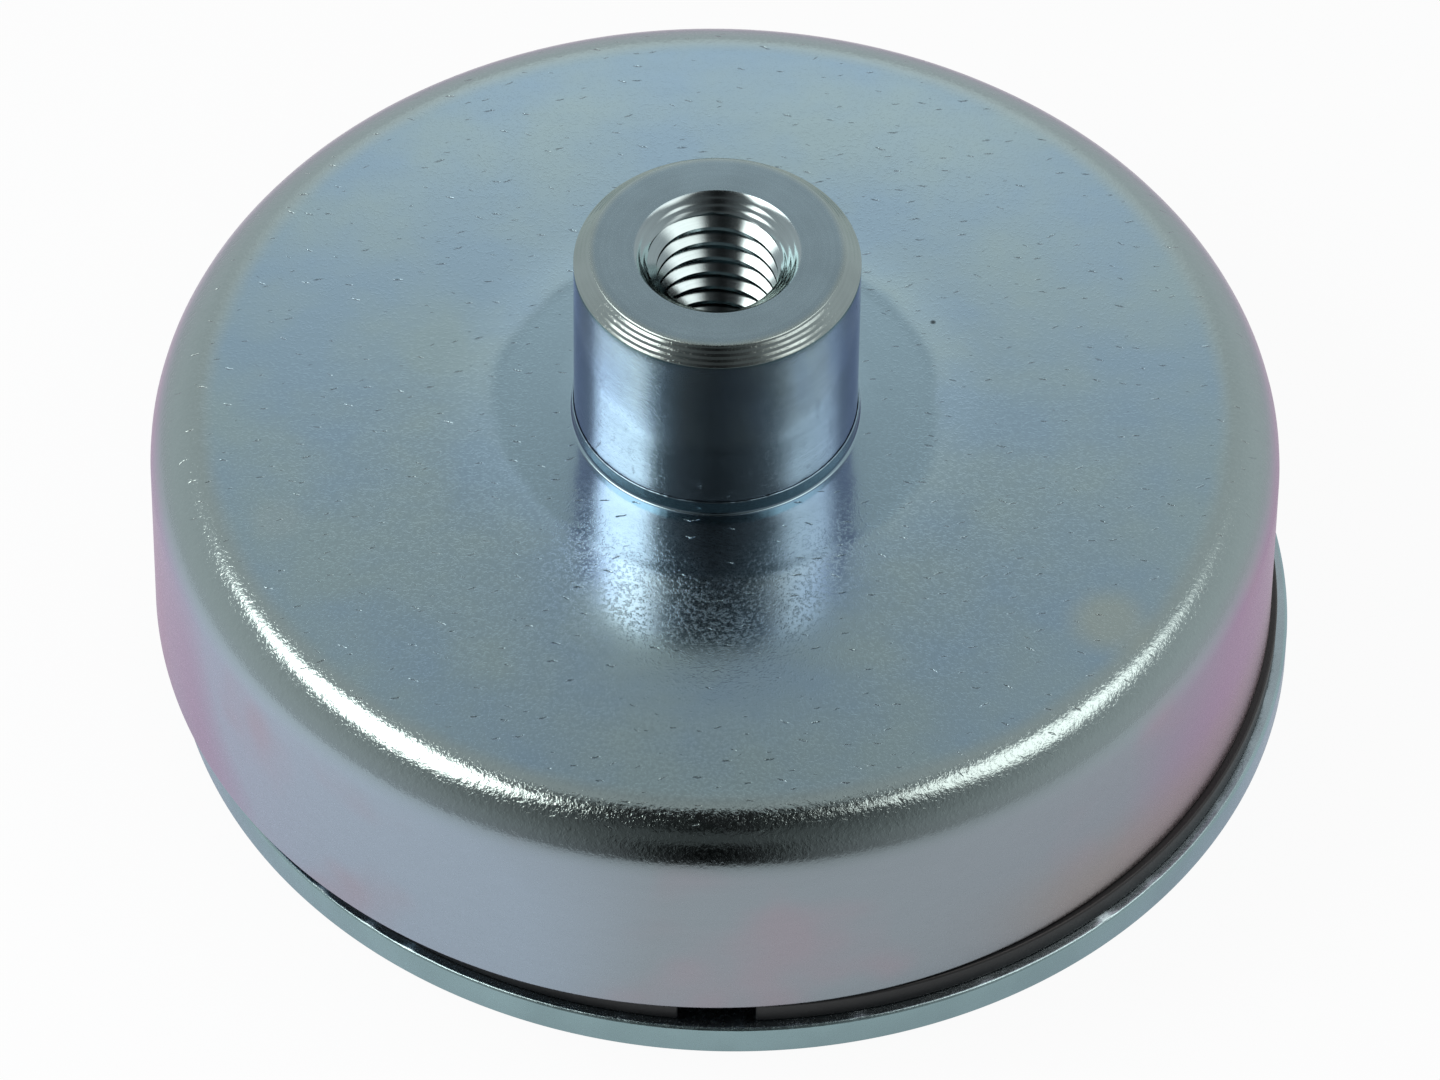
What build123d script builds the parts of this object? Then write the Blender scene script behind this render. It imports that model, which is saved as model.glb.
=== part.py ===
from build123d import *
import os

# Pot magnet with a threaded bush, standing on its keeper.
# Millimetres, +Z up. The origin is where the thread's axis meets the keeper's underside.

# Driving dimensions: keeper and spacer
keeper_diameter = 80.0
keeper_thickness = 2.4
keeper_edge = 0.25
keeper_shift_x = 1.25
keeper_shift_y = -0.5
spacer_diameter = 78.4
spacer_thickness = 1.6
slot_width = 5.4
slot_depth = 7.0
slot_angle = -91.0

# Driving dimensions: pot
pot_diameter = 80.0
pot_height = 18.0
pot_corner_radius = 4.3
pot_wall = 4.5
pot_plate = 4.0
rim_edge = 0.3
coin_diameter = 31.6
coin_depth = 0.12
coin_slope = 1.2
collar_foot = 0.4
collar_height = 1.3
collar_crest = 0.12

# Driving dimensions: bush
bush_diameter = 20.0
bush_rise = 16.0
bush_edge = 1.1
thread_bore = 8.5
thread_mouth = 11.6
tenon_diameter = 14.0
rivet_diameter = 17.6
rivet_depth = 1.6

# Clearances: resin_ring is the resin's width between the magnet and the pot's wall
resin_ring = 2.4
tenon_fit = 0.05
collar_gap = 0.05
resin_film = 0.3
resin_sink = 0.2

# Levels, from the ground up
keeper_top = keeper_thickness
rim_plane = keeper_top + spacer_thickness
pot_top = rim_plane + pot_height
plate_underside = pot_top - pot_plate
coin_face = pot_top - coin_depth
bush_top = pot_top + bush_rise
magnet_top = plate_underside - resin_film
rivet_top = plate_underside + rivet_depth

# Radii and widths that follow from the sizes above
pot_radius = pot_diameter / 2
pot_bore_radius = pot_radius - pot_wall
magnet_radius = pot_bore_radius - resin_ring
coin_radius = coin_diameter / 2
bush_radius = bush_diameter / 2
collar_radius = bush_radius + collar_gap
thread_radius = thread_bore / 2
mouth_radius = thread_mouth / 2
mouth_depth = mouth_radius - thread_radius
tenon_radius = tenon_diameter / 2
tenon_hole_radius = tenon_radius + tenon_fit
rivet_radius = rivet_diameter / 2
keeper_centre = (keeper_shift_x, keeper_shift_y)

os.makedirs("parts", exist_ok=True)

# Keeper: a blanked steel disc with its upper edge broken, drawn on a little off centre
with BuildPart() as keeper_plate:
    with BuildSketch():
        with Locations(keeper_centre):
            Circle(keeper_diameter / 2)
    extrude(amount=keeper_thickness)
    chamfer(keeper_plate.edges().group_by(Axis.Z)[-1], keeper_edge)

keeper_plate.part.label = "keeper_plate"
export_step(keeper_plate.part, "parts/keeper_plate.step")

# Spacer: a moulded disc on the keeper, with one slot in from its edge for prying it off
with BuildPart() as spacer_disc:
    with BuildSketch(Plane.XY.offset(keeper_top)):
        with Locations(keeper_centre):
            Circle(spacer_diameter / 2)
            with PolarLocations(spacer_diameter / 2, 1, start_angle=slot_angle):
                SlotOverall(2 * slot_depth, slot_width, mode=Mode.SUBTRACT)
    extrude(amount=spacer_thickness)

spacer_disc.part.label = "spacer_disc"
export_step(spacer_disc.part, "parts/spacer_disc.step")

# Pot: one deep-drawn steel cup, open downwards
with BuildPart() as pot_cup:
    with BuildSketch(Plane.XZ):
        with BuildLine():
            Polyline(
                (0, pot_top),
                (pot_radius, pot_top),
                (pot_radius, rim_plane),
                (pot_bore_radius, rim_plane),
                (pot_bore_radius, plate_underside),
                (0, plate_underside),
                close=True,
            )
        make_face()
    revolve(axis=Axis.Z)
    rings = pot_cup.edges().filter_by(GeomType.CIRCLE)
    fillet(rings.group_by(Axis.Z)[-1], pot_corner_radius)
    chamfer(rings.group_by(Axis.Z)[0].sort_by(SortBy.RADIUS)[-1], rim_edge)

    # Coined circle, pressed flat round the bush when its tenon is riveted
    with BuildSketch(Plane.XZ):
        with BuildLine():
            Polyline(
                (0, pot_top),
                (coin_radius, pot_top),
                (coin_radius - coin_slope, coin_face),
                (0, coin_face),
                close=True,
            )
        make_face()
    revolve(axis=Axis.Z, mode=Mode.SUBTRACT)

    # Thin collar of metal thrown up against the foot of the bush
    with BuildSketch(Plane.XZ):
        with BuildLine():
            Polyline(
                (bush_radius, coin_face),
                (collar_radius, coin_face + collar_height),
                (collar_radius + collar_crest, coin_face + collar_height),
                (collar_radius + collar_foot, coin_face),
                close=True,
            )
        make_face()
    revolve(axis=Axis.Z)

    # Hole for the tenon, countersunk underneath for its riveted end
    with Locations((0, 0, plate_underside)):
        Hole(tenon_hole_radius)
    with BuildSketch(Plane.XZ):
        with BuildLine():
            Polyline(
                (0, plate_underside),
                (rivet_radius, plate_underside),
                (tenon_hole_radius, rivet_top),
                (0, rivet_top),
                close=True,
            )
        make_face()
    revolve(axis=Axis.Z, mode=Mode.SUBTRACT)

pot_cup.part.label = "pot_cup"
export_step(pot_cup.part, "parts/pot_cup.step")

# Bush: one turned piece, its tenon riveted over in the plate's countersink
with BuildPart() as threaded_bush:
    with BuildSketch(Plane.XZ):
        with BuildLine():
            Polyline(
                (thread_radius, plate_underside),
                (rivet_radius, plate_underside),
                (tenon_radius, rivet_top),
                (tenon_radius, coin_face),
                (bush_radius, coin_face),
                (bush_radius, bush_top - bush_edge),
                (bush_radius - bush_edge, bush_top),
                (mouth_radius, bush_top),
                (thread_radius, bush_top - mouth_depth),
                close=True,
            )
        make_face()
    revolve(axis=Axis.Z)

threaded_bush.part.label = "threaded_bush"
export_step(threaded_bush.part, "parts/threaded_bush.step")

# Magnet: a pressed hard-ferrite disc, ground flush with the pot's rim
with BuildPart() as ferrite_disc:
    with BuildSketch(Plane.XY.offset(rim_plane)):
        Circle(magnet_radius)
    extrude(amount=magnet_top - rim_plane)

ferrite_disc.part.label = "ferrite_disc"
export_step(ferrite_disc.part, "parts/ferrite_disc.step")

# Resin: one casting, a thin film over the magnet and a ring between it and the pot
with BuildPart() as resin_bed:
    with BuildSketch(Plane.XY.offset(rim_plane + resin_sink)):
        Circle(pot_bore_radius)
    extrude(amount=plate_underside - rim_plane - resin_sink)
    add(ferrite_disc.part, mode=Mode.SUBTRACT)

resin_bed.part.label = "resin_bed"
export_step(resin_bed.part, "parts/resin_bed.step")
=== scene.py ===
import math

import bpy
import bmesh
from mathutils import Matrix, Vector, noise


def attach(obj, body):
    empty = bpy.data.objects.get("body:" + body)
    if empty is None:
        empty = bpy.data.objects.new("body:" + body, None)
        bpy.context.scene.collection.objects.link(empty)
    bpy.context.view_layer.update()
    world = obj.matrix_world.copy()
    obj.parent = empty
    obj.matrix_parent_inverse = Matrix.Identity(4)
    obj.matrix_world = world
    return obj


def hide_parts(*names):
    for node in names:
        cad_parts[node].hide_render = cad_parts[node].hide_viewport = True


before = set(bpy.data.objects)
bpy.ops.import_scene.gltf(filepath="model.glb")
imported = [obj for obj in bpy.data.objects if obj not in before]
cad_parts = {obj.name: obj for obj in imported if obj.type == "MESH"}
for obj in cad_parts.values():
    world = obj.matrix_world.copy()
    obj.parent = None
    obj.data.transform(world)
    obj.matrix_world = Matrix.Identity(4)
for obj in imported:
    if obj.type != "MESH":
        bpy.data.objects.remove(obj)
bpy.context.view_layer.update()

mm = 0.001
weldDist = 1e-7                      # in metres
usual = (0.3, 0.7)                   # nearly all of a noise texture's values lie between these
noiseMiddle = (0.5, 0.5, 0.5)
eased = {"interpolation_type": "SMOOTHSTEP"}

# sockets are given by number: a Map Range's 1 and 2 are the limits that it takes in, and its 3 and 4
# those that it gives out; a Mix's 2 and 3 are its numbers, and its 6 and 7 its colours
taking, giving = (1, 2), (3, 4)


# sRGB hex to linear
def srgb(hexCode):
    parts = [int(hexCode[i:i + 2], 16) / 255 for i in (1, 3, 5)]
    return tuple(c / 12.92 if c <= 0.04045 else ((c + 0.055) / 1.055) ** 2.4 for c in parts) + (1.0,)


# the first output that a node has switched on
def liveOutput(node):
    return next(s for s in node.outputs if s.enabled)


# an input is a value, a socket, or a node, which then gives its live output;
# a pair of keys takes a pair of inputs
def addNode(tree, kind, inputs=None, **settings):
    made = tree.nodes.new("ShaderNode" + kind)
    for name, value in settings.items():
        setattr(made, name, value)
    for key, value in (inputs or {}).items():
        for at, given in zip(key, value) if isinstance(key, tuple) else [(key, value)]:
            if isinstance(given, bpy.types.Node):
                given = liveOutput(given)
            if isinstance(given, bpy.types.NodeSocket):
                tree.links.new(given, made.inputs[at])
            else:
                made.inputs[at].default_value = given
    return made


# stops are (place from 0 to 1, colour)
def setStops(ramp, stops):
    elements = ramp.color_ramp.elements
    while len(elements) < len(stops):
        elements.new(0.5)
    for element, (at, colour) in zip(elements, stops):
        element.position, element.color = at, colour


def emptyTree(owner):
    owner.use_nodes = True
    owner.node_tree.nodes.clear()
    return owner.node_tree


# a new material, its tree and shader, and where a point lies in mm: place, radius from the axis, height
def newMaterial(name, **sockets):
    made = bpy.data.materials.new(name)
    tree = emptyTree(made)
    shader = addNode(tree, "BsdfPrincipled", sockets)
    addNode(tree, "OutputMaterial", {0: shader})
    point = addNode(tree, "TexCoord").outputs["Object"]
    place = addNode(tree, "VectorMath", {0: point, "Scale": 1 / mm}, operation="SCALE")
    flat = addNode(tree, "VectorMath", {0: place, 1: (1, 1, 0)}, operation="MULTIPLY")
    radius = addNode(tree, "VectorMath", {0: flat}, operation="LENGTH")
    height = addNode(tree, "SeparateXYZ", {0: place}).outputs[2]
    return made, tree, shader, place, radius, height


# gives a shader its colour, its roughness where that varies, and its relief, which is a height in mm
def dress(tree, shader, colour, rough, relief, strength=1.0):
    bump = addNode(tree, "Bump", {"Height": relief, "Distance": mm, "Strength": strength})
    for key, node in (("Base Color", colour), ("Roughness", rough), ("Normal", bump)):
        if node:
            tree.links.new(liveOutput(node), shader.inputs[key])


# corners are (radius, height, rounding) in mm, in order round the section
def section(corners, longest, arcSteps):
    points = []
    count = len(corners)
    for i, (r, z, rounding) in enumerate(corners):
        here = Vector((r, z))
        if rounding == 0:
            points.append(here)
            continue
        before = (Vector(corners[i - 1][:2]) - here).normalized()
        after = (Vector(corners[(i + 1) % count][:2]) - here).normalized()
        half = before.angle(after) / 2
        reach = rounding / math.tan(half)
        centre = here + (before + after).normalized() * (rounding / math.sin(half))
        start = here + before * reach - centre
        turn = start.angle_signed(here + after * reach - centre)
        for step in range(arcSteps + 1):
            points.append(centre + Matrix.Rotation(-turn * step / arcSteps, 2) @ start)
    fine = []
    for a, b in zip(points, points[1:] + points[:1]):
        pieces = max(1, math.ceil((b - a).length / longest))
        fine += [a.lerp(b, k / pieces) for k in range(pieces)]
    return fine


# a section spun round an upright axis, each of its points becoming a ring
def spun(points, steps, centre=(0, 0), closed=True):
    placed = []
    for r, z in points:
        for s in range(steps):
            a = math.tau * s / steps
            placed.append((centre[0] + r * math.cos(a), centre[1] + r * math.sin(a), z))
    faces = []
    for i in range(len(points) if closed else len(points) - 1):
        j = (i + 1) % len(points)
        for s in range(steps):
            t = (s + 1) % steps
            faces.append((i * steps + s, i * steps + t, j * steps + t, j * steps + s))
    return placed, faces


# points are in mm; an edge that turns by more than sharpDeg stays sharp
def meshObject(name, points, faces, sharpDeg=40):
    data = bpy.data.meshes.new(name)
    data.from_pydata([Vector(p) * mm for p in points], [], faces)
    work = bmesh.new()
    work.from_mesh(data)
    bmesh.ops.remove_doubles(work, verts=work.verts, dist=weldDist)
    bmesh.ops.dissolve_degenerate(work, edges=work.edges, dist=weldDist)
    bmesh.ops.recalc_face_normals(work, faces=work.faces)
    for face in work.faces:
        face.smooth = True
    for edge in work.edges:
        if len(edge.link_faces) == 2 and edge.calc_face_angle() > math.radians(sharpDeg):
            edge.smooth = False
    work.to_mesh(data)
    work.free()
    made = bpy.data.objects.new(name, data)
    bpy.context.scene.collection.objects.link(made)
    return made


# the piece stands in for a node's own solid, on the root body
def seat(piece, node, material):
    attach(piece, "root")
    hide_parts(node)
    piece.data.materials.append(material)


# pot: drawn steel cup, zinc plated and blue passivated; its lengths, like those of every piece, are in mm
pot = {
    # mesh: steps round the axis and in a rounding, and the longest step along the section
    "steps": 640, "arcSteps": 10, "longest": 2.0,
    # cup, with the hole and the countersink for the bush's riveted tenon
    "rimPlane": 4.0, "top": 22.0, "plateUnderside": 18.0,
    "rimRadius": 40.0, "topRadius": 39.9, "boreRadius": 35.5,
    "cornerRounding": 4.3, "rimRounding": 0.3, "rimInnerRounding": 0.2, "boreRounding": 0.6,
    "tenonHole": 7.05, "rivetRadius": 8.8, "rivetTop": 19.6,
    # plate: a coined circle with a soft step up, a low lip round it, and a slow fall towards the corner
    "coinFace": 21.98, "coinRadius": 16.1, "coinSlope": 1.1, "coinSteps": 8,
    "haloRadius": 20.5, "haloDrop": 0.04, "fallStart": 27.0, "fallEnd": 35.6, "fallDrop": 0.2,
    "plateRings": (17.0, 18.0, 19.2, 20.5, 24.0, 27.0, 29.0, 31.0, 33.0, 34.5, 35.6),
    # collar thrown up round the bush
    "collarInner": 10.03, "collarLean": 0.03, "collarHeight": 1.16, "collarCrest": 0.11, "collarFoot": 0.13,
    "collarInnerRounding": 0.03, "collarOuterRounding": 0.06, "collarFootRounding": 0.22,
    # its uneven crest: how high above the coined face it starts, how far out it reaches, its rise,
    # its sway as a share of the radius, its long and short waves to the mm, and the short ones' share
    "crestAbove": 0.9, "crestWithin": 0.4, "crestRise": 0.03, "crestSway": 0.0012,
    "longWaves": 0.9, "shortWaves": 3.1, "shortShare": 0.6,
    # colours, and where along X those of the wall stand: from 0 to 1, over wallReach either way
    "plateGreen": "#94abb1", "plateBlue": "#8da7b7", "coinColour": "#869fab", "cornerColour": "#99aaab",
    "wallMiddle": "#9faab1", "wallFar": "#ad98b0", "wallNear": "#a8b8c6",
    "wallPink": "#b3a2ac", "wallTan": "#aaa19a",
    # the colours at both ends of X and the blue on the left are a painted sheen, set where the wall is seen
    # edge-on
    "wallStops": ((0.03, "wallFar"), (0.09, "wallNear"), (0.3, "wallNear"),
                  (0.44, "wallMiddle"), (0.88, "wallMiddle"), (0.97, "wallFar")),
    # the last colour here is painted shade for the pits' dark cores
    "wallReach": 42.0, "edgeTint": "#f0e2ee", "pitShade": "#3c494e",
    # stains and a spot: x, y, radius, colour, share; the core is how much of the radius is fully coloured
    "marks": ((27.4, -19.5, 3.8, "#abb3a0", 0.5), (15.36, 8.4, 0.28, "#20282b", 0.85),
              (-30.5, -11.0, 2.6, "#a2b2b2", 0.3)),
    "markCore": 0.3,
    # where one finish gives way to the next: by radius, by height, and out from the coined circle's edge
    "cornerBlend": (35.0, 36.6), "wallBlend": (20.8, 17.8), "coinBlend": (0.3, -0.9), "coinRagged": 0.7,
    "haloInner": 16.2, "grainBlend": (10.3, 16.5), "pitEnds": ((39.0, 37.0), (10.4, 10.7)),
    "tanHeights": (13.0, 5.0), "tanAcross": (12.0, 32.0), "tintDrift": 4.0,
    # size of each pattern; the plating's grain and the rolled lines are finer than this on the real one,
    # and are drawn as coarse as they need to show
    "cloudMm": 8.0, "grainMm": 0.24, "peelMm": 0.4, "tintMm": 22.0, "blotchMm": 11.0,
    "rolledMm": 0.8, "rolledStretch": 0.14,
    # strength of each pattern: the noise's values over which it comes in, its share of the colour,
    # and the factors by which it shades the colour and changes the roughness
    "cloudSpan": (0.35, 0.65), "blotchSpan": (0.5, 0.72), "blotchShare": 0.5, "tanShare": 0.75,
    # haloShade lightens the plate from the halo inwards; the other share is how strongly painted shade
    # darkens the pits
    "haloShade": 0.09, "pitShadeShare": 0.32,
    "rolledShade": (0.99, 1.01), "grainShade": (0.97, 1.03), "grainRough": (0.8, 1.2),
    "plateRough": 0.17, "coinRough": 0.14, "cornerRough": 0.09, "wallRough": 0.3,
    # relief, and the noise's values over which the grain rises
    "peelDeepMm": 0.026, "wallPeelDeepMm": 0.004, "grainDeepMm": 0.0055, "grainOnWall": 0.15,
    "grainSpan": (0.52, 0.66), "pitDeepMm": 0.035,
    # pits: one cell's size, the largest pit's half length and half width, the least share of that,
    # the turn either way in radians, how ragged in half widths, how much of it is full depth,
    # and the share of cells that have one
    "pitEachMm": 1.7, "pitLongMm": 0.5, "pitWideMm": 0.085, "pitLeast": 0.25, "pitTurn": 0.5,
    "pitRagged": 3.0, "pitCore": 0.25, "pitShare": 0.62,
}


# height of the plate: a low lip round the coined circle, and a slow fall towards the corner
def plateHeight(r):
    outward = min(1, (r - pot["coinRadius"]) / (pot["haloRadius"] - pot["coinRadius"]))
    lip = pot["haloDrop"] * (1 - outward) ** 2
    fall = pot["fallDrop"] * max(0, (r - pot["fallStart"]) / (pot["fallEnd"] - pot["fallStart"])) ** 2
    return pot["top"] - pot["haloDrop"] + lip - fall


collarTop = pot["coinFace"] + pot["collarHeight"]
potCorners = [
    (pot["tenonHole"], pot["rivetTop"], 0),
    (pot["tenonHole"], pot["coinFace"], 0),
    (pot["collarInner"] - pot["collarLean"], pot["coinFace"], 0),
    (pot["collarInner"], collarTop, pot["collarInnerRounding"]),
    (pot["collarInner"] + pot["collarCrest"], collarTop, pot["collarOuterRounding"]),
    (pot["collarInner"] + pot["collarFoot"], pot["coinFace"], pot["collarFootRounding"]),
]
for step in range(pot["coinSteps"] + 1):
    share = step / pot["coinSteps"]
    rise = 0.5 - 0.5 * math.cos(math.pi * share)    # soft at both ends
    r = pot["coinRadius"] - pot["coinSlope"] * (1 - share)
    potCorners.append((r, pot["coinFace"] + (pot["top"] - pot["coinFace"]) * rise, 0))
potCorners += [(r, plateHeight(r), 0) for r in pot["plateRings"]]
potCorners += [
    (pot["topRadius"], plateHeight(pot["fallEnd"]), pot["cornerRounding"] - pot["fallDrop"]),
    (pot["rimRadius"], pot["rimPlane"], pot["rimRounding"]),
    (pot["boreRadius"], pot["rimPlane"], pot["rimInnerRounding"]),
    (pot["boreRadius"], pot["plateUnderside"], pot["boreRounding"]),
    (pot["rivetRadius"], pot["plateUnderside"], 0),
]


# pits: small marks rolled into the sheet, one a cell at most, each with its own length and turn
def pits(tree, place, peel, look):
    cells = addNode(tree, "TexVoronoi", {"Vector": place, "Scale": 1 / look["pitEachMm"]},
                    voronoi_dimensions="2D")
    chance = addNode(tree, "SeparateColor", {0: cells.outputs["Color"]})
    away = addNode(tree, "VectorMath", {0: place, 1: cells.outputs["Position"]}, operation="SUBTRACT")
    ragged = addNode(tree, "VectorMath", {0: peel.outputs["Color"], 1: noiseMiddle}, operation="SUBTRACT")
    raggedMm = look["pitWideMm"] * look["pitRagged"]
    ragged = addNode(tree, "VectorMath", {0: ragged, "Scale": raggedMm}, operation="SCALE")
    away = addNode(tree, "VectorMath", {0: away, 1: ragged}, operation="ADD")
    turn = addNode(tree, "MapRange", {0: chance.outputs[0], giving: (-look["pitTurn"], look["pitTurn"])})
    turned = addNode(tree, "VectorRotate", {0: away, "Angle": turn}, rotation_type="Z_AXIS")
    size = addNode(tree, "MapRange", {0: chance.outputs[1], giving: (look["pitLeast"], 1.0)})
    halfSizes = (1 / look["pitLongMm"], 1 / look["pitWideMm"], 0)
    reach = addNode(tree, "VectorMath", {0: turned, 1: halfSizes}, operation="MULTIPLY")
    reach = addNode(tree, "VectorMath", {0: reach}, operation="LENGTH")
    reach = addNode(tree, "Math", {0: reach, 1: size}, operation="DIVIDE")
    inside = addNode(tree, "MapRange", {0: reach, taking: (1.0, look["pitCore"])}, **eased)
    kept = addNode(tree, "Math", {0: chance.outputs[2], 1: look["pitShare"]}, operation="LESS_THAN")
    return addNode(tree, "Math", {0: inside, 1: kept}, operation="MULTIPLY")


# zinc on drawn sheet: satin and faintly clouded on the plate, smoother where it was coined, stretched
# into orange peel round the corner, with the passivation's thin colours on the wall, partly a painted sheen
potMaterial, tree, shader, place, radius, height = newMaterial(
    "bluePassivatedZinc", **{"Metallic": 1.0, "Specular Tint": srgb(pot["edgeTint"])})
cloud = addNode(tree, "TexNoise", {"Vector": place, "Scale": 1 / pot["cloudMm"], "Detail": 3.0})
streaked = addNode(tree, "VectorMath", {0: place, 1: (pot["rolledStretch"], 1, 1)}, operation="MULTIPLY")
rolled = addNode(tree, "TexNoise", {"Vector": streaked, "Scale": 1 / pot["rolledMm"], "Detail": 2.0})
fine = addNode(tree, "TexNoise",
               {"Vector": place, "Scale": 1 / pot["grainMm"], "Detail": 2.0, "Roughness": 0.7})
peel = addNode(tree, "TexNoise",
               {"Vector": place, "Scale": 1 / pot["peelMm"], "Detail": 2.0, "Roughness": 0.6})

onCorner = addNode(tree, "MapRange", {0: radius, taking: pot["cornerBlend"]}, **eased)
onWall = addNode(tree, "MapRange", {0: height, taking: pot["wallBlend"]}, **eased)
onWall = addNode(tree, "Math", {0: onWall, 1: onCorner}, operation="MULTIPLY")
ragged = addNode(tree, "MapRange", {0: cloud, taking: usual, giving: (-pot["coinRagged"], pot["coinRagged"])})
ragged = addNode(tree, "Math", {0: radius, 1: ragged}, operation="ADD")
coinEdge = [pot["coinRadius"] + out for out in pot["coinBlend"]]
onCoin = addNode(tree, "MapRange", {0: ragged, taking: coinEdge}, **eased)
blueness = addNode(tree, "MapRange", {0: cloud, taking: pot["cloudSpan"]})
colour = srgb(pot["plateGreen"])
for share, key in ((blueness, "plateBlue"), (onCoin, "coinColour"), (onCorner, "cornerColour")):
    colour = addNode(tree, "Mix", {0: share, 6: colour, 7: srgb(pot[key])}, data_type="RGBA")

# the wall's colours drift along X, with pink in blotches all round and tan low down on one side;
# the pink at both ends of X and the blue on the left paint the passivation's sheen where the wall is seen
# edge-on
drift = addNode(tree, "TexNoise", {"Vector": place, "Scale": 1 / pot["tintMm"], "Detail": 1.0})
drift = addNode(tree, "MapRange", {0: drift, taking: usual, giving: (-pot["tintDrift"], pot["tintDrift"])})
across = addNode(tree, "SeparateXYZ", {0: place}).outputs[0]
across = addNode(tree, "Math", {0: across, 1: drift}, operation="ADD")
wallColour = addNode(tree, "MapRange", {0: across, taking: (-pot["wallReach"], pot["wallReach"])})
wallColour = addNode(tree, "ValToRGB", {0: wallColour})
setStops(wallColour, [(at, srgb(pot[key])) for at, key in pot["wallStops"]])
low = addNode(tree, "MapRange", {0: height, taking: pot["tanHeights"]}, **eased)
tanned = addNode(tree, "MapRange", {0: across, taking: pot["tanAcross"], 4: pot["tanShare"]}, **eased)
tanned = addNode(tree, "Math", {0: low, 1: tanned}, operation="MULTIPLY")
blotched = addNode(tree, "TexNoise", {"Vector": place, "Scale": 1 / pot["blotchMm"], "Detail": 2.0})
blotched = addNode(tree, "MapRange", {0: blotched, taking: pot["blotchSpan"], 4: pot["blotchShare"]}, **eased)
for share, key in ((blotched, "wallPink"), (tanned, "wallTan")):
    wallColour = addNode(tree, "Mix", {0: share, 6: wallColour, 7: srgb(pot[key])}, data_type="RGBA")
colour = addNode(tree, "Mix", {0: onWall, 6: colour, 7: wallColour}, data_type="RGBA")
for x, y, size, hexCode, share in pot["marks"]:
    away = addNode(tree, "VectorMath", {0: place, 1: (x, y, pot["top"])}, operation="DISTANCE")
    mark = addNode(tree, "MapRange", {0: away, taking: (size, size * pot["markCore"]), 4: share}, **eased)
    colour = addNode(tree, "Mix", {0: mark, 6: colour, 7: srgb(hexCode)}, data_type="RGBA")

# lighter from the halo inwards, and darker in the pits, where shade is painted into the colour
haloEdge = (pot["haloRadius"], pot["haloInner"])
halo = addNode(tree, "MapRange", {0: radius, taking: haloEdge, 4: pot["haloShade"]}, **eased)
lighter = addNode(tree, "MapRange", {0: rolled, taking: usual, giving: pot["rolledShade"]})
lighter = addNode(tree, "Math", {0: lighter, 1: halo}, operation="ADD")
grainy = addNode(tree, "MapRange", {0: fine, taking: usual, giving: pot["grainShade"]})
lighter = addNode(tree, "Math", {0: lighter, 1: grainy}, operation="MULTIPLY")
colour = addNode(tree, "VectorMath", {0: colour, "Scale": lighter}, operation="SCALE")
pitted = pits(tree, place, peel, pot)
for ends in pot["pitEnds"]:
    fade = addNode(tree, "MapRange", {0: radius, taking: ends})
    pitted = addNode(tree, "Math", {0: pitted, 1: fade}, operation="MULTIPLY")
# painted shade: the pits' cores take the dark grey-blue colour in place of the shade that falls in them
pitShade = addNode(tree, "Math", {0: pitted, 1: pot["pitShadeShare"]}, operation="MULTIPLY")
colour = addNode(tree, "Mix", {0: pitShade, 6: colour, 7: srgb(pot["pitShade"])}, data_type="RGBA")

rough = pot["plateRough"]
for share, key in ((onCoin, "coinRough"), (onCorner, "cornerRough"), (onWall, "wallRough")):
    rough = addNode(tree, "Mix", {0: share, 2: rough, 3: pot[key]})
grainy = addNode(tree, "MapRange", {0: fine, taking: usual, giving: pot["grainRough"]})
rough = addNode(tree, "Math", {0: rough, 1: grainy}, operation="MULTIPLY")
peelDeep = addNode(tree, "MapRange", {0: onWall, giving: (pot["peelDeepMm"], pot["wallPeelDeepMm"])})
peelDeep = addNode(tree, "Math", {0: peelDeep, 1: onCorner}, operation="MULTIPLY")
relief = addNode(tree, "Math", {0: peel, 1: peelDeep}, operation="MULTIPLY")
grain = addNode(tree, "MapRange", {0: fine, taking: pot["grainSpan"]})
grainDeep = addNode(tree, "MapRange", {0: radius, taking: pot["grainBlend"], 4: pot["grainDeepMm"]})
wallGrain = addNode(tree, "MapRange", {0: onWall, giving: (1.0, pot["grainOnWall"])})
grainDeep = addNode(tree, "Math", {0: grainDeep, 1: wallGrain}, operation="MULTIPLY")
relief = addNode(tree, "Math", {0: grain, 1: grainDeep, 2: relief}, operation="MULTIPLY_ADD")
relief = addNode(tree, "Math", {0: pitted, 1: -pot["pitDeepMm"], 2: relief}, operation="MULTIPLY_ADD")
dress(tree, shader, colour, rough, relief)

potPoints, potFaces = spun(section(potCorners, pot["longest"], pot["arcSteps"]), pot["steps"])
crestFrom = pot["coinFace"] + pot["crestAbove"]
crestOut = pot["collarInner"] + pot["crestWithin"]
otherLayer = 5    # of the noise, for the short waves
for i, (x, y, z) in enumerate(potPoints):
    if z > crestFrom and math.hypot(x, y) < crestOut:
        wave = noise.noise(Vector((x, y, 0)) * pot["longWaves"])
        wave += pot["shortShare"] * noise.noise(Vector((x, y, otherLayer)) * pot["shortWaves"])
        out = 1 + pot["crestSway"] * wave
        potPoints[i] = (x * out, y * out, z + pot["crestRise"] * wave)
potPiece = meshObject("potCup", potPoints, potFaces)
seat(potPiece, "pot_cup", potMaterial)
print("pot: a drawn cup,", len(potPiece.data.polygons), "faces")

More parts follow.
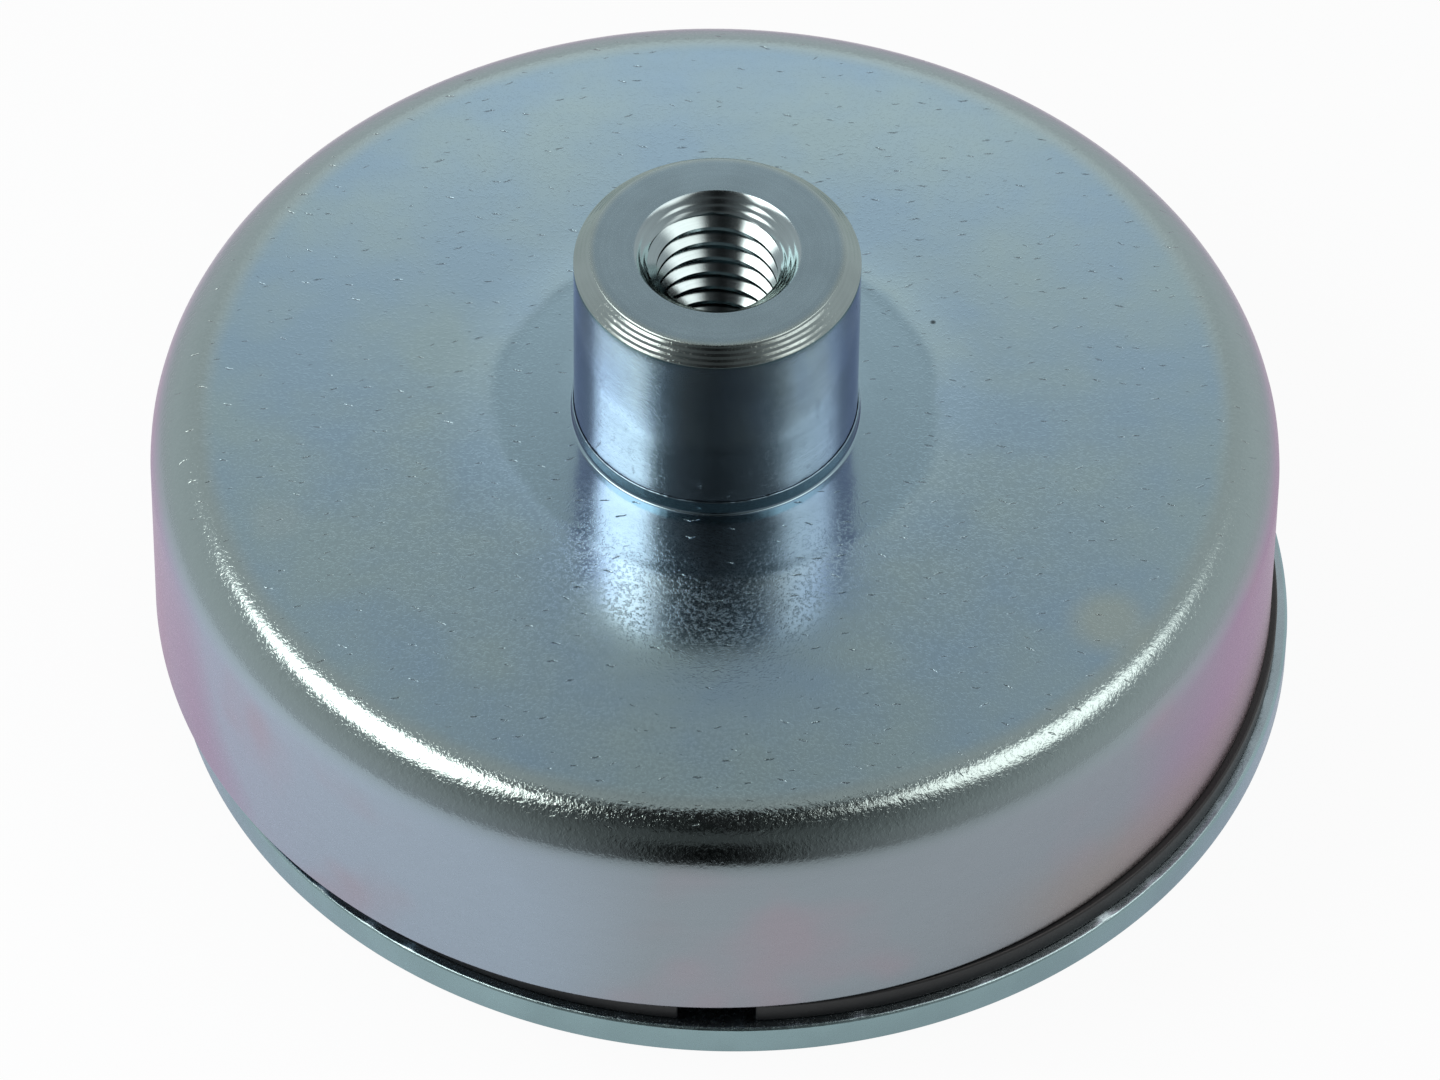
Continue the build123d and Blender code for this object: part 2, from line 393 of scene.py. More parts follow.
# bush: turned steel, tapped M10, bright zinc plated
bush = {
    # mesh
    "steps": 176, "arcSteps": 5, "longest": 0.8, "sharpDeg": 30,
    # body, with its tenon riveted under the cup's plate
    "radius": 10.0, "top": 38.0, "bottom": 18.0, "seatHeight": 21.88,
    "tenonRadius": 7.0, "rivetRadius": 8.75, "rivetTop": 19.6,
    # 45 degree edge with turned lines, which waver by a share of the radius except at its foot and head
    "edge": 1.1, "edgeLines": 4, "lineDepth": 0.024, "ridgeRounding": 0.05, "grooveRounding": 0.08,
    "headRounding": 0.25, "lineWaver": 0.002, "waversRound": 0.9, "waversUp": 4.0,
    "stillFoot": 0.05, "stillHead": 0.02,
    # countersunk mouth with a soft lip and turned rings; mouthRings is from one ring to the next
    "mouthRadius": 5.8, "mouthLand": 0.08, "mouthLip": 0.03, "lipDepth": 0.1,
    "mouthRings": 0.36, "ringDepth": 0.016, "ringStart": 0.16,
    # thread
    "minorRadius": 4.25, "majorRadius": 5.0, "pitch": 1.5, "crestFlat": 0.3, "rootFlat": 0.1,
    "crestSteps": 4, "flankSteps": 5,
    # colours
    "wallColour": "#b4bac2", "topColour": "#8a9fa8", "rimColour": "#96a5a5", "boreColour": "#97a7ab",
    "edgeTint": "#d6d6f2", "rimEdgeTint": "#d4ddd6",
    # where one finish gives way to the next, from the top, the edge's cone and the mouth's radius
    "topBlend": (-0.1, -0.03), "rimBlend": (-0.5, 0.05), "boreBlend": (0.1, -0.1),
    # patterns; turned lines and specks are finer than this on the real one, and are drawn as coarse as
    # they need to show
    "turnedMm": 0.16, "dapplesMm": 3.2, "specksMm": 0.22,
    "dapplesShade": (0.93, 1.05), "turnedShade": (0.97, 1.03),
    "specksSpan": (0.35, 0.7), "specksRough": (0.94, 1.12),
    "wallRough": 0.12, "topRough": 0.27, "boreRough": 0.13,
    # relief, of which only topRelief's share is on the top and in the bore
    "turnedDeepMm": 0.0012, "dapplesDeepMm": 0.014, "specksDeepMm": 0.005, "specksRaised": (0.56, 0.75),
    "topRelief": 0.12,
}


# radius of the countersunk mouth at a height: a 45 degree cone with turned rings and a soft lip
def mouthAt(b, z):
    depth = b["top"] - z
    lip = b["mouthLip"] * max(0, 1 - depth / b["lipDepth"]) ** 2
    rings = b["ringDepth"] * math.sin(math.tau * depth / b["mouthRings"]) if depth > b["ringStart"] else 0
    return b["mouthRadius"] - depth + lip + rings


# bore: one thread, swept up as a strip whose last point meets the next turn's first
def threadStrip(b):
    crest, root = b["crestFlat"], b["rootFlat"]
    flank = (b["pitch"] - crest - root) / 2
    low, high = b["minorRadius"], b["majorRadius"]
    flat, slope = b["crestSteps"], b["flankSteps"]
    marks = [(crest * k / flat, low) for k in range(flat + 1)]
    marks += [(crest + flank * k / slope, low + (high - low) * k / slope) for k in range(1, slope + 1)]
    fallsFrom = crest + flank + root
    marks += [(fallsFrom + flank * k / slope, high - (high - low) * k / slope) for k in range(slope)]
    points, faces = [], []
    steps, width = b["steps"], len(marks)
    # it starts below the bore and ends above it, and is cut level at both ends
    turnsBelow, turnsSpare = 1.5, 2
    turns = math.ceil((b["top"] - b["bottom"]) / b["pitch"]) + turnsSpare
    for i in range(steps * turns + 1):
        a = math.tau * i / steps
        base = b["bottom"] - b["pitch"] * turnsBelow + b["pitch"] * i / steps
        for rise, radius in marks:
            z = base + rise
            if z <= b["bottom"]:
                z, radius = b["bottom"], low
            z = min(z, b["top"])
            radius = max(radius, mouthAt(b, z))
            points.append((radius * math.cos(a), radius * math.sin(a), z))
    for i in range(steps * (turns - 1)):
        for k in range(width):
            here = i * width + k
            there = here + 1 if k + 1 < width else (i + steps) * width
            faces.append((here, here + width, there + width, there))
    return points, faces


bushCorners = [
    (bush["minorRadius"], bush["bottom"], 0),
    (bush["rivetRadius"], bush["bottom"], 0),
    (bush["tenonRadius"], bush["rivetTop"], 0),
    (bush["tenonRadius"], bush["seatHeight"], 0),
    (bush["radius"], bush["seatHeight"], 0),
]
edgeFoot = Vector((bush["radius"], bush["top"] - bush["edge"]))
edgeHead = Vector((bush["radius"] - bush["edge"], bush["top"]))
inward = Vector((-1, -1)).normalized() * bush["lineDepth"]
bushCorners.append((*edgeFoot, bush["ridgeRounding"]))
for line in range(bush["edgeLines"]):
    groove = edgeFoot.lerp(edgeHead, (line + 0.5) / bush["edgeLines"]) + inward
    bushCorners.append((*groove, bush["grooveRounding"]))
    if line < bush["edgeLines"] - 1:
        ridge = edgeFoot.lerp(edgeHead, (line + 1) / bush["edgeLines"])
        bushCorners.append((*ridge, bush["ridgeRounding"]))
mouthEdge = mouthAt(bush, bush["top"])
bushCorners += [
    (*edgeHead, bush["headRounding"]),
    (mouthEdge + bush["mouthLand"], bush["top"], 0),
    (mouthEdge, bush["top"], 0),
]
outline = section(bushCorners, bush["longest"], bush["arcSteps"])
# the thread closes the section instead
while outline[-1].x < bush["mouthRadius"] and outline[-1].y > bush["bottom"]:
    outline.pop()
bushPoints, bushFaces = spun(outline, bush["steps"], closed=False)
waverFrom = bush["top"] - bush["edge"] + bush["stillFoot"]
waverTo = bush["top"] - bush["stillHead"]
for i, (x, y, z) in enumerate(bushPoints):
    if waverFrom < z < waverTo:
        spot = Vector((x * bush["waversRound"], y * bush["waversRound"], z * bush["waversUp"]))
        waver = 1 + bush["lineWaver"] * noise.noise(spot)
        bushPoints[i] = (x * waver, y * waver, z)
threadPoints, threadFaces = threadStrip(bush)
bushFaces += [tuple(len(bushPoints) + i for i in face) for face in threadFaces]

# bright zinc on turned steel: bluish and nearly mirror smooth on the wall, with faint turned lines,
# duller on the faced top, and a little greener on the edge and in the bore
bushMaterial, tree, shader, place, radius, height = newMaterial("brightZincTurnedSteel", Metallic=1.0)
turned = addNode(tree, "CombineXYZ", {0: radius, 1: height})
turned = addNode(tree, "TexNoise", {"Vector": turned, "Scale": 1 / bush["turnedMm"], "Detail": 1.0})
dapples = addNode(tree, "TexNoise", {"Vector": place, "Scale": 1 / bush["dapplesMm"], "Detail": 2.0})
specks = addNode(tree, "TexNoise",
                 {"Vector": place, "Scale": 1 / bush["specksMm"], "Detail": 2.0, "Roughness": 0.7})
topEdge = [bush["top"] + up for up in bush["topBlend"]]
onTop = addNode(tree, "MapRange", {0: height, taking: topEdge})
rimEdge = [bush["radius"] + bush["top"] - bush["edge"] + out for out in bush["rimBlend"]]
onRim = addNode(tree, "Math", {0: radius, 1: height}, operation="ADD")
onRim = addNode(tree, "MapRange", {0: onRim, taking: rimEdge}, **eased)
boreEdge = [bush["mouthRadius"] + out for out in bush["boreBlend"]]
inBore = addNode(tree, "MapRange", {0: radius, taking: boreEdge})
colour = srgb(bush["wallColour"])
for share, key in ((onTop, "topColour"), (onRim, "rimColour"), (inBore, "boreColour")):
    colour = addNode(tree, "Mix", {0: share, 6: colour, 7: srgb(bush[key])}, data_type="RGBA")
greener = addNode(tree, "Math", {0: onRim, 1: inBore}, operation="MAXIMUM")
tints = (srgb(bush["edgeTint"]), srgb(bush["rimEdgeTint"]))
edgeTint = addNode(tree, "Mix", {0: greener, (6, 7): tints}, data_type="RGBA")
tree.links.new(liveOutput(edgeTint), shader.inputs["Specular Tint"])
dappled = addNode(tree, "MapRange", {0: dapples, taking: usual, giving: bush["dapplesShade"]})
lined = addNode(tree, "MapRange", {0: turned, taking: usual, giving: bush["turnedShade"]})
uneven = addNode(tree, "Math", {0: dappled, 1: lined}, operation="MULTIPLY")
colour = addNode(tree, "VectorMath", {0: colour, "Scale": uneven}, operation="SCALE")
rough = bush["wallRough"]
for share, key in ((onTop, "topRough"), (inBore, "boreRough")):
    rough = addNode(tree, "Mix", {0: share, 2: rough, 3: bush[key]})
speckled = addNode(tree, "MapRange", {0: specks, taking: bush["specksSpan"], giving: bush["specksRough"]})
rough = addNode(tree, "Math", {0: rough, 1: speckled}, operation="MULTIPLY")
relief = addNode(tree, "Math", {0: turned, 1: bush["turnedDeepMm"]}, operation="MULTIPLY")
relief = addNode(tree, "Math", {0: dapples, 1: bush["dapplesDeepMm"], 2: relief}, operation="MULTIPLY_ADD")
specks = addNode(tree, "MapRange", {0: specks, taking: bush["specksRaised"]})
relief = addNode(tree, "Math", {0: specks, 1: bush["specksDeepMm"], 2: relief}, operation="MULTIPLY_ADD")
strength = addNode(tree, "Math", {0: inBore, 1: onTop}, operation="MAXIMUM")
strength = addNode(tree, "MapRange", {0: strength, giving: (1.0, bush["topRelief"])})
dress(tree, shader, colour, rough, relief, strength)
bushPiece = meshObject("threadedBush", bushPoints + threadPoints, bushFaces, bush["sharpDeg"])
seat(bushPiece, "threaded_bush", bushMaterial)
print("bush: turned, with its thread,", len(bushPiece.data.polygons), "faces")

# keeper: blanked steel disc under the pot
keeper = {
    "steps": 512, "arcSteps": 6, "longest": 2.0,
    "radius": 39.995, "thickness": 2.4, "centre": (1.25, -0.5), "footRounding": 0.08, "edgeRounding": 0.25,
    # knocks along the upper edge: waves to the mm, the wave's height below which the edge is spared,
    # the depth for each unit past that, and how far in and down they reach
    "dentWaves": 0.7, "dentSpared": 0.25, "dentDeep": 0.1, "dentIn": 0.2, "dentDown": 0.3,
    "sideColour": "#9ab5b9", "faceColour": "#9cacb3", "edgeTint": "#e8e6f4",
    "sideBlend": (-0.3, -0.1), "cloudShade": (0.93, 1.06), "rough": 0.24, "grainRough": (0.8, 1.25),
    # the plating's grain is finer than this on the real one, and is drawn as coarse as it needs to show
    "cloudMm": 5.0, "grainMm": 0.25, "shearMm": 0.5, "shearStretch": 0.15,
    "grainDeepMm": 0.01, "shearDeepMm": 0.01,
}
keeperCorners = [
    (0.0, 0.0, 0),
    (keeper["radius"], 0.0, keeper["footRounding"]),
    (keeper["radius"], keeper["thickness"] / 2, 0),
    (keeper["radius"], keeper["thickness"], keeper["edgeRounding"]),
    (0.0, keeper["thickness"], 0),
]

# zinc on blanked steel: the punched side has fine upright drag lines, the faces a satin grain
keeperMaterial, tree, shader, place, radius, height = newMaterial(
    "zincPlatedBlankedSteel", **{"Metallic": 1.0, "Specular Tint": srgb(keeper["edgeTint"])})
cloud = addNode(tree, "TexNoise", {"Vector": place, "Scale": 1 / keeper["cloudMm"], "Detail": 2.0})
fine = addNode(tree, "TexNoise", {"Vector": place, "Scale": 1 / keeper["grainMm"], "Detail": 2.0})
dragged = addNode(tree, "VectorMath", {0: place, 1: (1, 1, keeper["shearStretch"])}, operation="MULTIPLY")
dragged = addNode(tree, "TexNoise", {"Vector": dragged, "Scale": 1 / keeper["shearMm"], "Detail": 2.0})
fromCentre = addNode(tree, "VectorMath", {0: place, 1: (1, 1, 0)}, operation="MULTIPLY")
fromCentre = addNode(tree, "VectorMath", {0: fromCentre, 1: (*keeper["centre"], 0)}, operation="DISTANCE")
sideEdge = [keeper["radius"] + out for out in keeper["sideBlend"]]
onSide = addNode(tree, "MapRange", {0: fromCentre, taking: sideEdge})
colours = (srgb(keeper["faceColour"]), srgb(keeper["sideColour"]))
colour = addNode(tree, "Mix", {0: onSide, (6, 7): colours}, data_type="RGBA")
uneven = addNode(tree, "MapRange", {0: cloud, taking: usual, giving: keeper["cloudShade"]})
colour = addNode(tree, "VectorMath", {0: colour, "Scale": uneven}, operation="SCALE")
roughs = [keeper["rough"] * factor for factor in keeper["grainRough"]]
rough = addNode(tree, "MapRange", {0: fine, taking: usual, giving: roughs})
relief = addNode(tree, "Math", {0: fine, 1: keeper["grainDeepMm"]}, operation="MULTIPLY")
relief = addNode(tree, "Math", {0: dragged, 1: keeper["shearDeepMm"], 2: relief}, operation="MULTIPLY_ADD")
dress(tree, shader, colour, rough, relief)
keeperSection = section(keeperCorners, keeper["longest"], keeper["arcSteps"])
keeperPoints, keeperFaces = spun(keeperSection, keeper["steps"], keeper["centre"])
for i, (x, y, z) in enumerate(keeperPoints):
    out = Vector((x - keeper["centre"][0], y - keeper["centre"][1]))
    if out.length > keeper["radius"] - keeper["dentIn"] and z > keeper["thickness"] - keeper["dentDown"]:
        wave = noise.noise(Vector((out.x, out.y, 0)) * keeper["dentWaves"])
        knock = keeper["dentDeep"] * max(0, wave - keeper["dentSpared"])
        x -= out.x * knock / keeper["radius"]
        y -= out.y * knock / keeper["radius"]
        keeperPoints[i] = (x, y, z - knock)
keeperPiece = meshObject("keeperPlate", keeperPoints, keeperFaces)
seat(keeperPiece, "keeper_plate", keeperMaterial)
print("keeper: a blanked disc,", len(keeperPiece.data.polygons), "faces")

# spacer: moulded black plastic disc with one slot in its edge
spacer = {
    # mesh: steps round the disc and the slot's end, and how its edges are rounded
    "steps": 480, "endSteps": 24, "softSteps": 3, "softOverDeg": 50,
    "radius": 39.2, "bottom": 2.4, "thickness": 1.6, "centre": (1.25, -0.5), "rounding": 0.15,
    "slotWidth": 5.4, "slotDepth": 7.0, "slotAngle": -91.0,
    "body": "#141517", "worn": "#1f2123", "flowSpan": (0.45, 0.7), "rough": 0.42, "flowRough": (0.85, 1.15),
    # the spark-eroded grain is finer than this on the real one, and is drawn as coarse as it needs to show
    "grainMm": 0.22, "flowMm": 9.0, "grainDeepMm": 0.012,
}


# round the disc from one side of the slot to the other, then in along the slot and round its end
def spacerOutline(s):
    half = s["slotWidth"] / 2
    mouth = math.asin(half / s["radius"])
    shape = []
    for k in range(s["steps"] + 1):
        a = mouth + (math.tau - 2 * mouth) * k / s["steps"]
        shape.append((s["radius"] * math.cos(a), s["radius"] * math.sin(a)))
    centre = s["radius"] - s["slotDepth"] + half
    for k in range(s["endSteps"] + 1):
        a = -math.pi / 2 - math.pi * k / s["endSteps"]
        shape.append((centre + half * math.cos(a), half * math.sin(a)))
    turn = Matrix.Rotation(math.radians(s["slotAngle"]), 2)
    return [turn @ Vector(p) + Vector(s["centre"]) for p in shape]


edge = spacerOutline(spacer)
count = len(edge)
spacerTop = spacer["bottom"] + spacer["thickness"]
spacerPoints = [(p.x, p.y, z) for z in (spacer["bottom"], spacerTop) for p in edge]
spacerFaces = [tuple(range(count))[::-1], tuple(range(count, 2 * count))]
spacerFaces += [(i, (i + 1) % count, count + (i + 1) % count, count + i) for i in range(count)]

# black ABS, moulded: satin with a fine spark-eroded grain, and a little greyer where it flowed
spacerMaterial, tree, shader, place, radius, height = newMaterial("mouldedBlackAbs", IOR=1.53)
fine = addNode(tree, "TexNoise", {"Vector": place, "Scale": 1 / spacer["grainMm"], "Detail": 2.0})
flow = addNode(tree, "TexNoise", {"Vector": place, "Scale": 1 / spacer["flowMm"], "Detail": 3.0})
flowed = addNode(tree, "MapRange", {0: flow, taking: spacer["flowSpan"]})
colours = (srgb(spacer["body"]), srgb(spacer["worn"]))
colour = addNode(tree, "Mix", {0: flowed, (6, 7): colours}, data_type="RGBA")
roughs = [spacer["rough"] * factor for factor in spacer["flowRough"]]
rough = addNode(tree, "MapRange", {0: flow, taking: usual, giving: roughs})
relief = addNode(tree, "Math", {0: fine, 1: spacer["grainDeepMm"]}, operation="MULTIPLY")
dress(tree, shader, colour, rough, relief)
spacerPiece = meshObject("spacerDisc", spacerPoints, spacerFaces)
seat(spacerPiece, "spacer_disc", spacerMaterial)
soft = spacerPiece.modifiers.new("edgeRounding", "BEVEL")
soft.width = spacer["rounding"] * mm
soft.segments = spacer["softSteps"]
soft.limit_method = "ANGLE"
soft.angle_limit = math.radians(spacer["softOverDeg"])
print("spacer: a moulded disc")

# magnet and resin: inside the cup, so their solids stay as they are and only take a finish
magnet = {
    "colour": "#37373a", "dust": "#4a494a", "rough": 0.62,
    # the wheel's lines are finer than this on the real one, and are drawn as coarse as they need to show
    "groundMm": 0.3, "groundStretch": 0.04, "groundDeepMm": 0.02,
}
resin = {
    "colour": "#191817", "haze": "#262422", "rough": 0.24, "hazeRough": (0.7, 1.4),
    "hazeMm": 4.0, "setDeepMm": 0.15,
}

# hard ferrite, ground flat: dull dark grey with the wheel's straight lines
ferriteMaterial, tree, shader, place, radius, height = newMaterial(
    "groundHardFerrite", Roughness=magnet["rough"])
lines = addNode(tree, "VectorMath", {0: place, 1: (1, magnet["groundStretch"], 1)}, operation="MULTIPLY")
lines = addNode(tree, "TexNoise", {"Vector": lines, "Scale": 1 / magnet["groundMm"], "Detail": 3.0})
colours = (srgb(magnet["colour"]), srgb(magnet["dust"]))
colour = addNode(tree, "Mix", {0: lines, (6, 7): colours}, data_type="RGBA")
relief = addNode(tree, "Math", {0: lines, 1: magnet["groundDeepMm"]}, operation="MULTIPLY")
dress(tree, shader, colour, None, relief)

# black epoxy, cast: glossy, with a slight haze and a gentle unevenness where it set
resinMaterial, tree, shader, place, radius, height = newMaterial("castBlackEpoxy", IOR=1.55)
haze = addNode(tree, "TexNoise", {"Vector": place, "Scale": 1 / resin["hazeMm"], "Detail": 3.0})
colours = (srgb(resin["colour"]), srgb(resin["haze"]))
colour = addNode(tree, "Mix", {0: haze, (6, 7): colours}, data_type="RGBA")
roughs = [resin["rough"] * factor for factor in resin["hazeRough"]]
rough = addNode(tree, "MapRange", {0: haze, taking: usual, giving: roughs})
relief = addNode(tree, "Math", {0: haze, 1: resin["setDeepMm"]}, operation="MULTIPLY")
dress(tree, shader, colour, rough, relief)
for nodeName, made in (("ferrite_disc", ferriteMaterial), ("resin_bed", resinMaterial)):
    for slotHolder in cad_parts[nodeName].material_slots:
        slotHolder.material = made
print("magnet and resin: finished in place")

# studio: pale floor, a grey tent with two soft boxes in it; lengths are in metres and angles in degrees
studio = {
    # ambient is the world's level on plain surfaces; to the camera and in reflections it is 1
    "ambient": 0.55, "floorSize": 3.0, "floorDrop": 2e-5, "floorColour": "#e4e6e8",
    # how much of the floor is plain white to the camera and in reflections
    "cameraWhite": 0.93, "mirroredWhite": 0.5,
    # in reflections the floor is dim round a place on the camera's side
    "dimAt": (0.03, -0.22, 0), "dimReach": (0.02, 0.21), "dimLeast": 0.3,
    "centre": (0, 0, 0.004), "tentRadius": 0.17, "tentSteps": 96, "tentRise": 24,
    # grey of the tent's cloth by degrees round from the camera's side, low down and high up,
    # and the elevations over which one gives way to the other
    "low": ((0, 0.0), (8, 0.03), (15, 0.15), (30, 0.32), (60, 0.58), (90, 0.72),
            (120, 0.78), (150, 0.8), (180, 0.85)),
    "high": ((0, 0.02), (30, 0.04), (60, 0.25), (90, 0.48), (120, 0.6), (150, 0.6), (180, 0.44)),
    "mixed": (18.0, 72.0),
    # bands of glow: elevation, how far above and below it starts and is full, brightness, and the shares of
    # the half turn from the camera's side between which it comes in
    "glows": ((40.0, (14.0, 5.0), 0.07, (0.12, 0.04)), (39.0, (17.0, 3.0), 0.42, (0.8, 0.95))),
    # each box leans by so many degrees of azimuth for each degree up
    "boxes": (
        {"name": "leftBox", "azimuth": -77, "halfWide": 28, "softWide": 9, "lean": 0.5,
         "elevation": 57, "halfHigh": 10.5, "softHigh": 4, "brightness": 5.9},
        {"name": "rightBox", "azimuth": 75, "halfWide": 26, "softWide": 12, "lean": -1.0,
         "elevation": 58, "halfHigh": 10.5, "softHigh": 5, "brightness": 2.4},
    ),
    "boxTint": "#fff6ee", "lampDistance": 0.16, "lampSize": 0.08,
}


def towards(azimuth, elevation):
    a, e = math.radians(azimuth), math.radians(elevation)
    return Vector((math.sin(a) * math.cos(e), -math.cos(a) * math.cos(e), math.sin(e)))


world = bpy.data.worlds.new("softStudio")
bpy.context.scene.world = world
tree = emptyTree(world)
path = addNode(tree, "LightPath")
mirrored = addNode(tree, "Math", {0: path.outputs["Is Glossy Ray"], 1: path.outputs["Is Transmission Ray"]},
                   operation="MAXIMUM")
seen = addNode(tree, "Math", {0: path.outputs["Is Camera Ray"], 1: mirrored}, operation="MAXIMUM")
level = addNode(tree, "MapRange", {0: seen, giving: (studio["ambient"], 1.0)})
background = addNode(tree, "Background", {0: (1, 1, 1, 1), 1: level})
addNode(tree, "OutputWorld", {0: background})

# the floor is pale; in reflections it darkens towards the camera's side, where the tent is dark too
floorMaterial = bpy.data.materials.new("paleFloor")
tree = emptyTree(floorMaterial)
path = addNode(tree, "LightPath")
mirrored = addNode(tree, "Math", {0: path.outputs["Is Glossy Ray"], 1: path.outputs["Is Transmission Ray"]},
                   operation="MAXIMUM")
spot = addNode(tree, "TexCoord").outputs["Object"]
away = addNode(tree, "VectorMath", {0: spot, 1: studio["dimAt"]}, operation="DISTANCE")
dim = addNode(tree, "MapRange", {0: away, taking: studio["dimReach"], giving: (studio["dimLeast"], 1.0)})
dim = addNode(tree, "MapRange", {0: mirrored, giving: (1.0, dim)})
paint = addNode(tree, "VectorMath", {0: srgb(studio["floorColour"])[:3], "Scale": dim}, operation="SCALE")
paint = addNode(tree, "BsdfDiffuse", {0: paint})
white = addNode(tree, "Emission", {0: (1, 1, 1, 1), 1: dim})
share = addNode(tree, "Math", {0: mirrored, 1: studio["mirroredWhite"]}, operation="MULTIPLY")
share = addNode(tree, "Math", {0: path.outputs["Is Camera Ray"], 1: studio["cameraWhite"], 2: share},
                operation="MULTIPLY_ADD")
ground = addNode(tree, "MixShader", {0: share, 1: paint, 2: white})
addNode(tree, "OutputMaterial", {0: ground})
half, drop = studio["floorSize"] / 2, -studio["floorDrop"]
floorData = bpy.data.meshes.new("floor")
floorData.from_pydata([(-half, -half, drop), (half, -half, drop), (half, half, drop), (-half, half, drop)],
                      [], [(0, 1, 2, 3)])
floor = bpy.data.objects.new("floor", floorData)
bpy.context.scene.collection.objects.link(floor)
floorData.materials.append(floorMaterial)

# the tent is seen only in reflections, with the boxes' soft squares of light in its cloth
tentMaterial = bpy.data.materials.new("greyTent")
tree = emptyTree(tentMaterial)
spot = addNode(tree, "TexCoord").outputs["Object"]
spot = addNode(tree, "VectorMath", {0: spot}, operation="NORMALIZE")
spot = addNode(tree, "SeparateXYZ", {0: spot})
azimuth = addNode(tree, "Math", {0: spot.outputs[1], 1: -1.0}, operation="MULTIPLY")
azimuth = addNode(tree, "Math", {0: spot.outputs[0], 1: azimuth}, operation="ARCTAN2")
azimuth = addNode(tree, "Math", {0: azimuth}, operation="DEGREES")
elevation = addNode(tree, "Math", {0: spot.outputs[2]}, operation="ARCSINE")
elevation = addNode(tree, "Math", {0: elevation}, operation="DEGREES")
turned = addNode(tree, "Math", {0: azimuth}, operation="ABSOLUTE")
turned = addNode(tree, "MapRange", {0: turned, 2: 180.0})
cloth = []
for key in ("low", "high"):
    ramp = addNode(tree, "ValToRGB", {0: turned})
    setStops(ramp, [(degrees / 180, (grey, grey, grey, 1)) for degrees, grey in studio[key]])
    cloth.append(ramp)
upward = addNode(tree, "MapRange", {0: elevation, taking: studio["mixed"]})
glow = addNode(tree, "Mix", {0: upward, (2, 3): cloth})
for glowElevation, spread, brightness, shares in studio["glows"]:
    band = addNode(tree, "Math", {0: elevation, 1: glowElevation}, operation="SUBTRACT")
    band = addNode(tree, "Math", {0: band}, operation="ABSOLUTE")
    band = addNode(tree, "MapRange", {0: band, taking: spread, 4: brightness}, **eased)
    comesIn = addNode(tree, "MapRange", {0: turned, taking: shares})
    band = addNode(tree, "Math", {0: band, 1: comesIn}, operation="MULTIPLY")
    glow = addNode(tree, "Math", {0: glow, 1: band}, operation="ADD")
glow = addNode(tree, "CombineXYZ", {0: glow, 1: glow, 2: glow})
for box in studio["boxes"]:
    wide = (box["halfWide"] + box["softWide"], box["halfWide"] - box["softWide"])
    high = (box["halfHigh"] + box["softHigh"], box["halfHigh"] - box["softHigh"])
    above = addNode(tree, "Math", {0: elevation, 1: box["elevation"]}, operation="SUBTRACT")
    aside = addNode(tree, "Math", {0: azimuth, 1: box["azimuth"]}, operation="SUBTRACT")
    aside = addNode(tree, "Math", {0: above, 1: -box["lean"], 2: aside}, operation="MULTIPLY_ADD")
    aside = addNode(tree, "Math", {0: aside}, operation="ABSOLUTE")
    withinWide = addNode(tree, "MapRange", {0: aside, taking: wide}, **eased)
    above = addNode(tree, "Math", {0: above}, operation="ABSOLUTE")
    withinHigh = addNode(tree, "MapRange", {0: above, taking: high}, **eased)
    lit = addNode(tree, "Math", {0: withinWide, 1: withinHigh}, operation="MULTIPLY")
    lit = addNode(tree, "Math", {0: lit, 1: box["brightness"]}, operation="MULTIPLY")
    lit = addNode(tree, "VectorMath", {0: srgb(studio["boxTint"])[:3], "Scale": lit}, operation="SCALE")
    glow = addNode(tree, "VectorMath", {0: glow, 1: lit}, operation="ADD")
light = addNode(tree, "Emission", {0: glow, 1: 1.0})
addNode(tree, "OutputMaterial", {0: light})
tentMm = studio["tentRadius"] / mm
tentFoot = -studio["centre"][2] / mm    # the cloth reaches down to the floor
arc = []
for step in range(studio["tentRise"]):
    a = math.pi / 2 * step / studio["tentRise"]
    arc.append((tentMm * math.cos(a), tentMm * math.sin(a)))
tentSection = [(tentMm, tentFoot)] + arc + [(0.0, tentMm)]
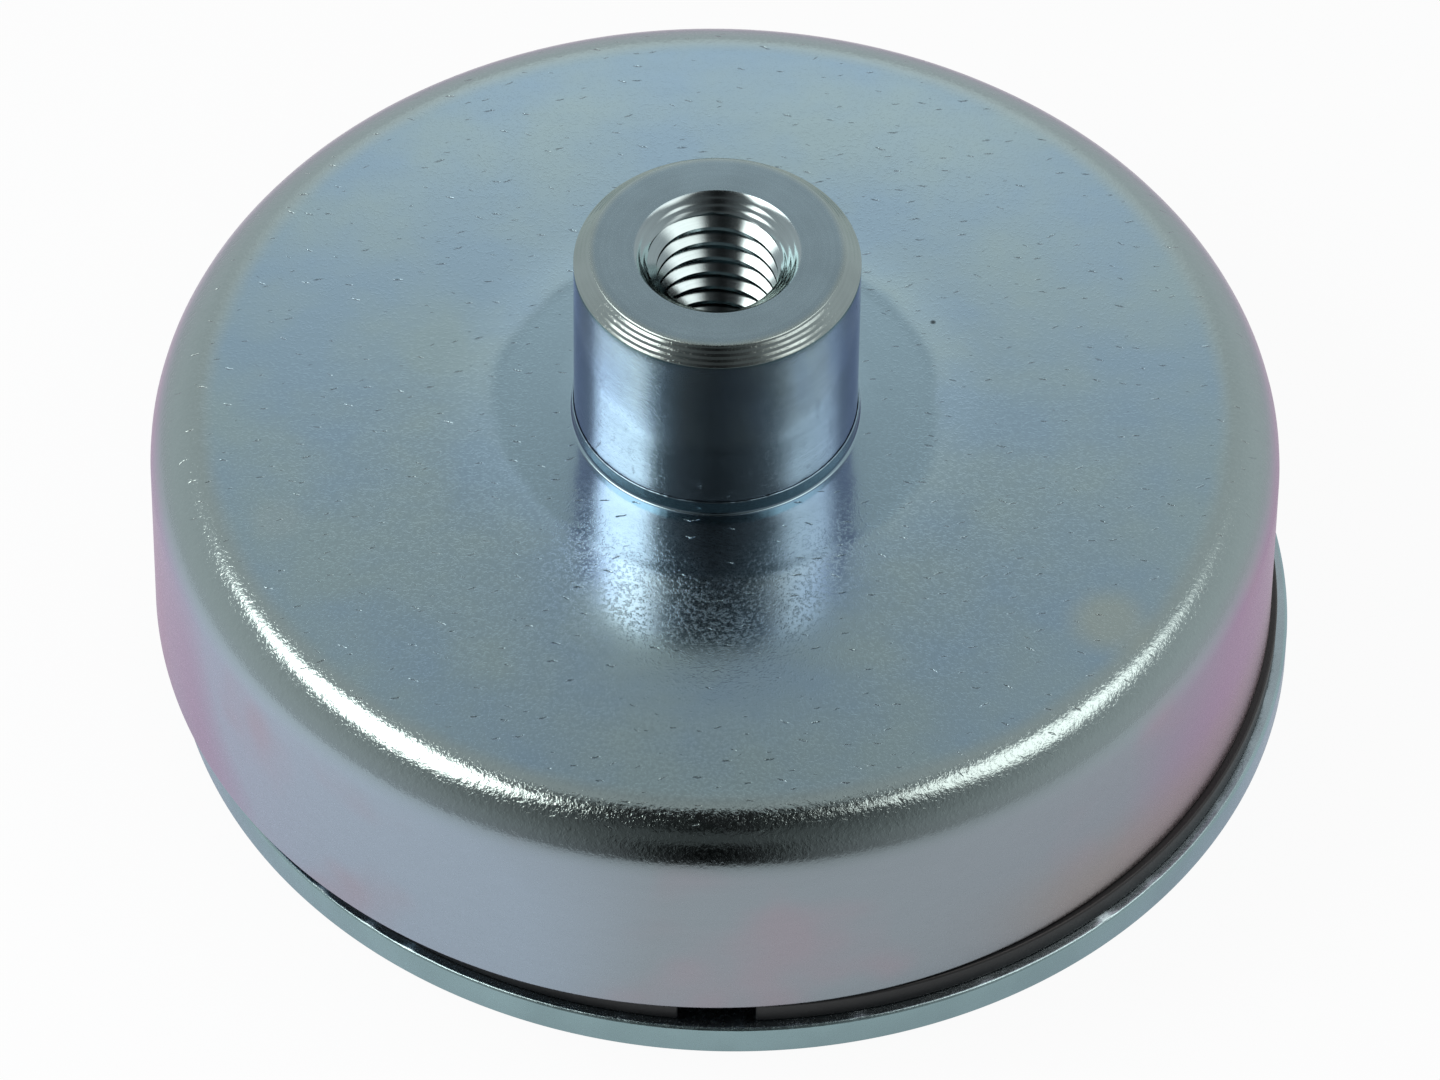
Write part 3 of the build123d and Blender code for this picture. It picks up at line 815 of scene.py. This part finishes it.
tent = meshObject("greyTent", *spun(tentSection, studio["tentSteps"], closed=False))
tent.location = studio["centre"]
tent.data.materials.append(tentMaterial)
tent.visible_camera = tent.visible_diffuse = tent.visible_shadow = tent.visible_transmission = False

# with the world, a lamp at each box's place gives the plain light; reflections show the box in the cloth
for box in studio["boxes"]:
    lamp = bpy.data.lights.new(box["name"], "AREA")
    lamp.shape = "DISK"
    lamp.size = studio["lampSize"]
    # radiance by pi by the disk's area
    lamp.energy = box["brightness"] * math.pi * math.pi * lamp.size ** 2 / 4
    holder = bpy.data.objects.new(box["name"], lamp)
    bpy.context.scene.collection.objects.link(holder)
    outward = towards(box["azimuth"], box["elevation"])
    holder.location = outward * studio["lampDistance"] + Vector(studio["centre"])
    holder.rotation_mode = "QUATERNION"
    holder.rotation_quaternion = outward.to_track_quat("Z", "Y")
    holder.visible_glossy = False

# the camera aims at the thread's axis in the rim's plane, then turns a little
view = {
    "lens": 250.0, "sensor": 36.0, "elevation": 48.624, "distance": 0.71788, "aimHeight": 0.004,
    "roll": -0.696, "pan": -0.034, "tilt": 0.205, "clip": (0.01, 20),
}
back = towards(0, view["elevation"])
forward, right = -back, Vector((1, 0, 0))
up = right.cross(forward)
turn = Matrix.Rotation(math.radians(view["pan"]), 3, up)
forward, right = turn @ forward, turn @ right
turn = Matrix.Rotation(math.radians(view["tilt"]), 3, right)
forward, up = turn @ forward, turn @ up
turn = Matrix.Rotation(math.radians(view["roll"]), 3, forward)
right, up = turn @ right, turn @ up
cameraData = bpy.data.cameras.new("productCamera")
cameraData.lens, cameraData.sensor_width = view["lens"], view["sensor"]
cameraData.clip_start, cameraData.clip_end = view["clip"]
camera = bpy.data.objects.new("productCamera", cameraData)
bpy.context.scene.collection.objects.link(camera)
pose = Matrix((right, up, -forward)).transposed().to_4x4()
pose.translation = back * view["distance"] + Vector((0, 0, view["aimHeight"]))
camera.matrix_world = pose
bpy.context.scene.camera = camera
bpy.context.scene.view_settings.view_transform = "Standard"
print("studio: floor, two soft boxes and camera")
